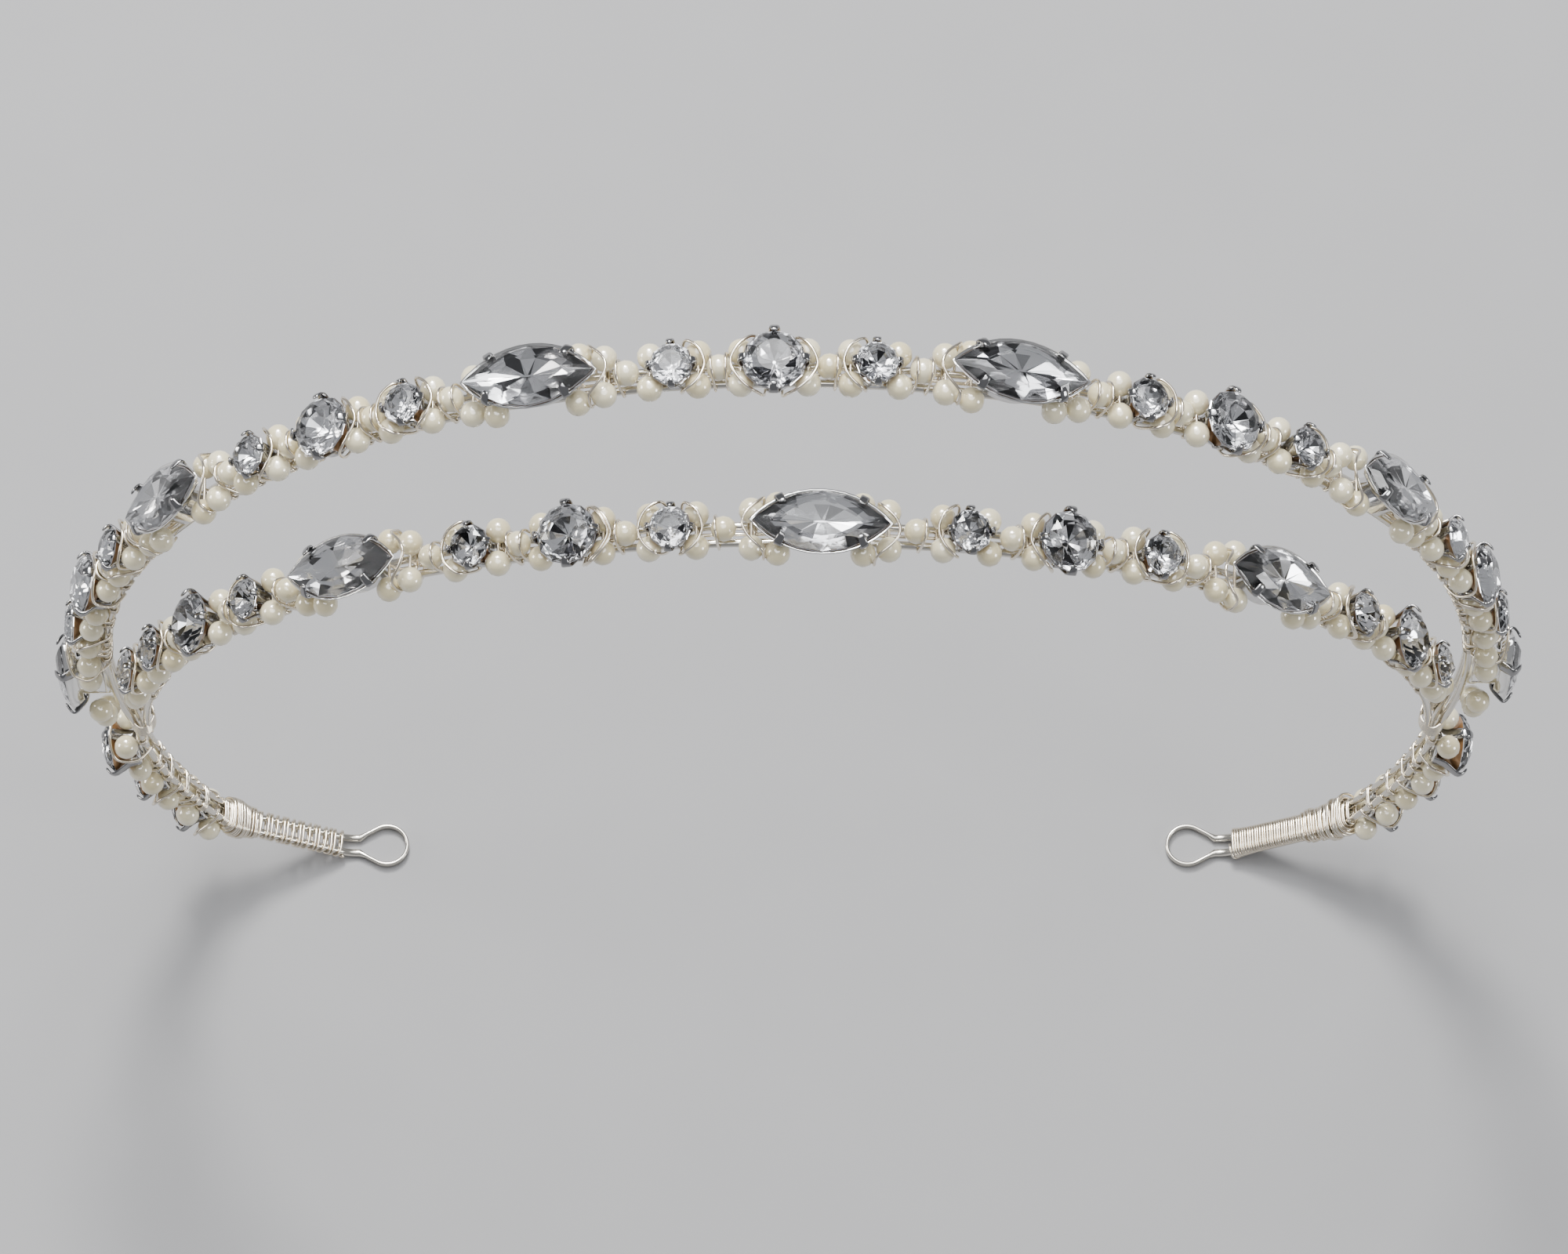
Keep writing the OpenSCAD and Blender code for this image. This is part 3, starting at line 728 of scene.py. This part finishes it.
def makeWirework(name, curve, pairs, singles, stones):
    shape = Shape()
    for s, y in pairs:
        if y < fine["outermost"]:
            addTurns(shape, curve, s, fine["fewest"] + 0.5 * rng.integers(4))
    for s in singles:
        side = rng.choice([-1, 1])
        addHoop(shape, curve, s, "single", side)
        if rng.random() < hoopForm["secondShare"]:
            addHoop(shape, curve, s, "single", -side)
    # The first and last stones have one hoop, towards the band's middle
    last = len(stones) - 1
    for i, (kind, s) in enumerate(stones):
        side = 1 if i == 0 else -1 if i == last else rng.choice([-1, 1])
        addHoop(shape, curve, s, kind, side)
        if 0 < i < last and rng.random() < hoopForm["secondShare"]:
            addHoop(shape, curve, s, kind, -side)
    shape.make(name, [fineSilver], "fine_wire")


makeWirework("wireworkRear", rearBand, rearPairs, rearSingles, rearStones)
makeWirework("wireworkFront", frontBand, frontPairs + frontEndPairs, frontSingles, frontStones)
makeWirework("wireworkLeft", leftEnd, endPairs, endSingles, endStones)
makeWirework("wireworkRight", rightEnd, endPairs, endSingles, endStones)

# The wound arms and the bindings where the bands join
winding = {"radius": 0.165, "segments": 22, "sides": 6, "wireGap": 0.04, "backOff": 4, "wanderTurns": 2.9}
armBendLength = ends["armBend"] * math.radians(ends["armDeg"] - ends["toDeg"] + winding["backOff"])
armWhole = armBendLength + ends["armLength"]


def armPath(lengths, side):
    # The arm's middle line in the plane of the rear band: an arc first, then straight. It begins a few
    # degrees before the bend
    start = math.radians(ends["toDeg"] - winding["backOff"])
    stop = math.radians(ends["armDeg"])
    a = np.where(lengths < armBendLength, start + lengths / ends["armBend"], stop)
    extra = np.maximum(lengths - armBendLength, 0)
    x = armBendCentre[0] + ends["armBend"] * np.sin(a) + extra * math.cos(stop)
    z = armBendCentre[1] + ends["armBend"] * np.cos(a) - extra * math.sin(stop)
    normal = np.stack([side * np.sin(a), 0 * a, np.cos(a)], axis=-1)
    return np.stack([side * x, 0 * a, z], axis=-1), normal


def addWinding(shape, side, begin, end, pitch, lift, wander=0.0, phase=0.0, slope=0.0):
    # A helix round both wires of the arm: it lies on them at lift 0, and on other turns at more. The turns
    # wander along the arm, and lean where slope is given
    turns = (end - begin) / pitch
    count = int(turns * winding["segments"])
    t = np.linspace(0, 2 * math.pi * turns, count) + phase
    u = np.linspace(0, 1, count)
    lengths = (begin + (end - begin) * u + wander * np.sin(t / winding["wanderTurns"] + 2 * phase)
               + slope * np.cos(t))
    middle, normal = armPath(lengths, side)
    hug = (band["wireRadius"] + winding["radius"] + winding["wireGap"]
           + (lift(u) if callable(lift) else lift))
    y = roundBothWires(t, hug)
    path = middle + y[:, None] * (0, 1, 0) + (hug * np.sin(t))[:, None] * normal
    armDirection = onward(ends["armDeg"])
    shape.grid(tube(path @ rearTurn.T + jointOrigin, winding["radius"], winding["sides"],
                    (side * armDirection[0], 0, armDirection[1])))


leftWrap, rightWrap = Shape(), Shape()
# Left: a dense bulge of three layers on the bend, then loose turns in groups
addWinding(leftWrap, -1, 0.1, 5.6, 0.36, 0.0)
addWinding(leftWrap, -1, 0.2, 5.0, 0.38, lambda u: 0.4 * np.sin(np.pi * (0.1 + 0.8 * u)) ** 0.6,
           wander=0.08, phase=1.0, slope=0.1)
addWinding(leftWrap, -1, 0.6, 3.4, 0.4, lambda u: 0.42 + 0.32 * np.sin(np.pi * u) ** 0.6,
           wander=0.1, phase=2.0, slope=-0.12)
addWinding(leftWrap, -1, 5.3, armWhole + 0.4, 0.74, 0.03, wander=0.16, phase=2.0, slope=0.12)
# Right: tight even turns that flare at the loop, and two layers of coarse lumps towards the band
addWinding(rightWrap, 1, 0.1, armWhole + 0.1, 0.34, lambda u: 0.3 * u ** 14, wander=0.02, slope=0.05)
addWinding(rightWrap, 1, 0.1, 7.2, 0.46,
           lambda u: 0.36 + 0.22 * np.sin(2.7 * np.pi * u + 0.6) ** 2 - 0.3 * u ** 6,
           wander=0.12, phase=0.5, slope=0.16)
addWinding(rightWrap, 1, 0.3, 4.4, 0.5,
           lambda u: 0.66 + 0.3 * np.sin(2 * np.pi * u + 1.2) ** 2 - 0.4 * u ** 4,
           wander=0.2, phase=1.7, slope=-0.22)
leftWrap.make("wrapLeft", [fineSilver], "fine_wire", replaces=["wrap_left"])
rightWrap.make("wrapRight", [fineSilver], "fine_wire", replaces=["wrap_right"])

binding = {
    "turns": 7.5, "pitch": 0.36, "segments": 24, "low": -1.1, "slope": 0.12,
    "inset": 0.66, "reachX": 1.38, "forward": 0.05, "reachY": 1.66, "dent": 0.15,
}


def makeBinding(name, side, node):
    # A helix round the four wires at the joint: its reach times cosine and sine, dented on the long sides
    # and sloping a little
    count = int(binding["turns"] * binding["segments"])
    t = np.linspace(0, 2 * math.pi * binding["turns"], count)
    z = np.linspace(binding["low"], binding["low"] + binding["turns"] * binding["pitch"], count)
    z += binding["slope"] * np.cos(t)
    x = jointX - band["railDepth"] - binding["inset"] + binding["reachX"] * np.cos(t)
    y = binding["reachY"] * np.sin(t) + binding["dent"] * np.sin(3 * t) * np.sin(t) - binding["forward"]
    path = np.stack([side * x, y, z], axis=-1) @ rearTurn.T + jointOrigin
    shape = Shape()
    shape.grid(tube(path, winding["radius"], winding["sides"], (0, 0, 1)))
    shape.make(name, [fineSilver], "fine_wire", replaces=[node])


makeBinding("bindingLeft", -1, "binding_left")
makeBinding("bindingRight", 1, "binding_right")
print("wire wound")

# The frame wire's two halves
loop = {
    "length": 6.3, "width": 5.9, "wire": 1.0, "gap": 0.12, "thickness": 0.4, "squareness": 0.35,
    "sides": 12, "endPoints": 41, "legPoints": 9,
    "changePoints": 3,  # over which the round wire turns into the ribbon
}


def addFrameHalf(shape, side):
    # A round section carried down one strand, round the flat loop, where it is a ribbon on edge, and up the
    # other strand. Each arc of a strand: [centre, radius, from and to in degrees, points]. The two halves
    # overlap at the top, and the arcs stop short of one another so that no two points coincide
    rearEnd = 90 + math.degrees(math.asin(rearCentre / band["rearRadius"]))
    bends = [((0, rearCentre), band["rearRadius"] - band["railDepth"], -0.2, rearEnd, 90),
             (endCentre, ends["radius"] - band["railDepth"], ends["fromDeg"] + 0.3, ends["toDeg"] - 0.3, 20),
             (armBendCentre, ends["armBend"], ends["toDeg"], ends["armDeg"], 9),
             (armEnd - ends["armBend"] * outward(ends["armDeg"]), ends["armBend"], ends["armDeg"],
              ends["armDeg"], 1),
             (footCentre, ends["footBend"], ends["armDeg"] + 3, 178, 10)]
    deg = np.concatenate([np.linspace(a, b, n) for c, r, a, b, n in bends])
    spots = np.concatenate([c + r * outward(np.linspace(a, b, n)) for c, r, a, b, n in bends])
    strand = np.stack([side * spots[:, 0], np.full(len(deg), band["wirePitch"] / 2), spots[:, 1]], axis=-1)
    inward = -np.stack([side * outward(deg)[:, 0], 0 * deg, outward(deg)[:, 1]], axis=-1)
    # The loop's middle line lies flat: a round end, and legs that lead straight to the two strands
    half = loop["wire"] / 2
    r = loop["width"] / 2 - half
    d = loop["length"] - r - half
    slant = math.asin(r / math.hypot(d, band["wirePitch"] / 2)) - math.atan2(band["wirePitch"] / 2, d)
    a = np.linspace(math.pi / 2 - slant, 3 * math.pi / 2 + slant, loop["endPoints"])
    flat = np.stack([r * np.cos(a) - d, r * np.sin(a)], axis=-1)
    legs = np.linspace((0, band["wirePitch"] / 2), flat[0], loop["legPoints"])[:-1]
    flat = np.concatenate([legs, flat, legs[::-1] * (1, -1)])
    flat = np.stack([side * (footCentre[0] - loop["gap"] + flat[:, 0]), flat[:, 1] + band["middleY"],
                     np.full(len(flat), half)], axis=-1)
    down = strand @ rearTurn.T + jointOrigin
    up = (strand * (1, -1, 1))[::-1] @ rearTurn.T + jointOrigin
    path = np.concatenate([down, flat, up])
    first = np.concatenate([inward @ rearTurn.T, np.broadcast_to((0, 0, 1.0), flat.shape),
                            inward[::-1] @ rearTurn.T])
    # How far the section has changed from the round wire to the ribbon, point by point
    steps = np.clip(np.arange(len(flat)) / loop["changePoints"], 0, 1)
    change = np.concatenate([np.zeros(len(down)), steps * steps[::-1], np.zeros(len(up))])
    tall = band["wireRadius"] + change * (half - band["wireRadius"])
    wide = band["wireRadius"] + change * (loop["thickness"] / 2 - band["wireRadius"])
    power = 1 - change * (1 - loop["squareness"])
    shape.grid(sweep(path, first, tall, wide, loop["sides"], power))


frameWires = Shape()
for side in (-1, 1):
    addFrameHalf(frameWires, side)
frameWires.make("frameWires", [wireSilver], "wire", replaces=["frame_wire", "loop_left", "loop_right"])

# The solids that stay in sight: the front band's rails and the threads
for nodeName, material in {"front_rails": wireSilver, "thread_rear": fineSilver,
                           "thread_front": fineSilver}.items():
    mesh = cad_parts[nodeName].data
    mesh.materials.clear()
    mesh.materials.append(material)

# Floor, light and camera
studio = {
    "floorSize": 3.0, "floorColour": (0.28, 0.28, 0.285), "floorCloud": (0.30, 0.30, 0.305),
    "world": 0.33, "worldColour": (0.93, 0.95, 1.0),
}


def floorLook():
    look = Look("paleFloor")
    grain = look.spots(60)
    return look.shade({
        "Base Color": look.blend(grain, (*studio["floorColour"], 1), (*studio["floorCloud"], 1)),
        "Roughness": 0.7,
    })


half = studio["floorSize"] / 2
floorMesh = bpy.data.meshes.new("floor")
floorMesh.from_pydata([(-half, -half, 0), (half, -half, 0), (half, half, 0), (-half, half, 0)], [],
                      [(0, 1, 2, 3)])
floorMesh.materials.append(floorLook())
floor = bpy.data.objects.new("floor", floorMesh)
bpy.context.scene.collection.objects.link(floor)

world = bpy.data.worlds.new("studio")
world.use_nodes = True
background = world.node_tree.nodes["Background"].inputs
background["Color"].default_value = (*studio["worldColour"], 1)
background["Strength"].default_value = studio["world"]
bpy.context.scene.world = world

# Angle in degrees, lengths in millimetres, and the camera's nearest and farthest sight in metres
view = {
    "elevation": 68.05, "distance": 885.9, "aimX": -0.39, "aimOverJoint": 28.28,
    "lens": 180.0, "sensor": 36.0, "nearest": 0.05, "farthest": 20,
}
aim = jointOrigin + np.array([view["aimX"], 0, view["aimOverJoint"]])


def lookFrom(item, spot, target):
    item.location = Vector(spot)
    item.rotation_euler = (Vector(target) - Vector(spot)).to_track_quat("-Z", "Y").to_euler()
    bpy.context.scene.collection.objects.link(item)


def addLight(name, spot, size, power, colour):
    data = bpy.data.lights.new(name, "AREA")
    data.shape, data.size, data.energy, data.color = "DISK", size, power, colour
    lookFrom(bpy.data.objects.new(name, data), spot, aim * metre)


# Soft lights: [place in metres, size, power, colour]
lights = {
    "key": [(-0.12, 0.62, 0.85), 0.28, 13.0, (1, 0.99, 0.97)],  # small, for one bright spot on each pearl
    "softbox": [(-0.10, 0.55, 1.0), 0.7, 8.5, (0.98, 0.98, 1)],
    "overhead": [(0, 0.1, 1.3), 1.15, 13.5, (0.97, 0.98, 1)],
    "left": [(-0.95, 0.1, 0.40), 0.35, 4.0, (1, 0.97, 0.93)],
    "right": [(0.95, -0.35, 0.45), 0.35, 3.5, (0.98, 0.99, 1)],
}
for name, (spot, size, power, colour) in lights.items():
    addLight(name, spot, size, power, colour)

cameraData = bpy.data.cameras.new("camera")
cameraData.lens, cameraData.sensor_width = view["lens"], view["sensor"]
cameraData.clip_start, cameraData.clip_end = view["nearest"], view["farthest"]
elevation = math.radians(view["elevation"])
eye = aim + view["distance"] * np.array([0, -math.cos(elevation), math.sin(elevation)])
camera = bpy.data.objects.new("camera", cameraData)
lookFrom(camera, eye * metre, aim * metre)
bpy.context.scene.camera = camera
print("studio ready")
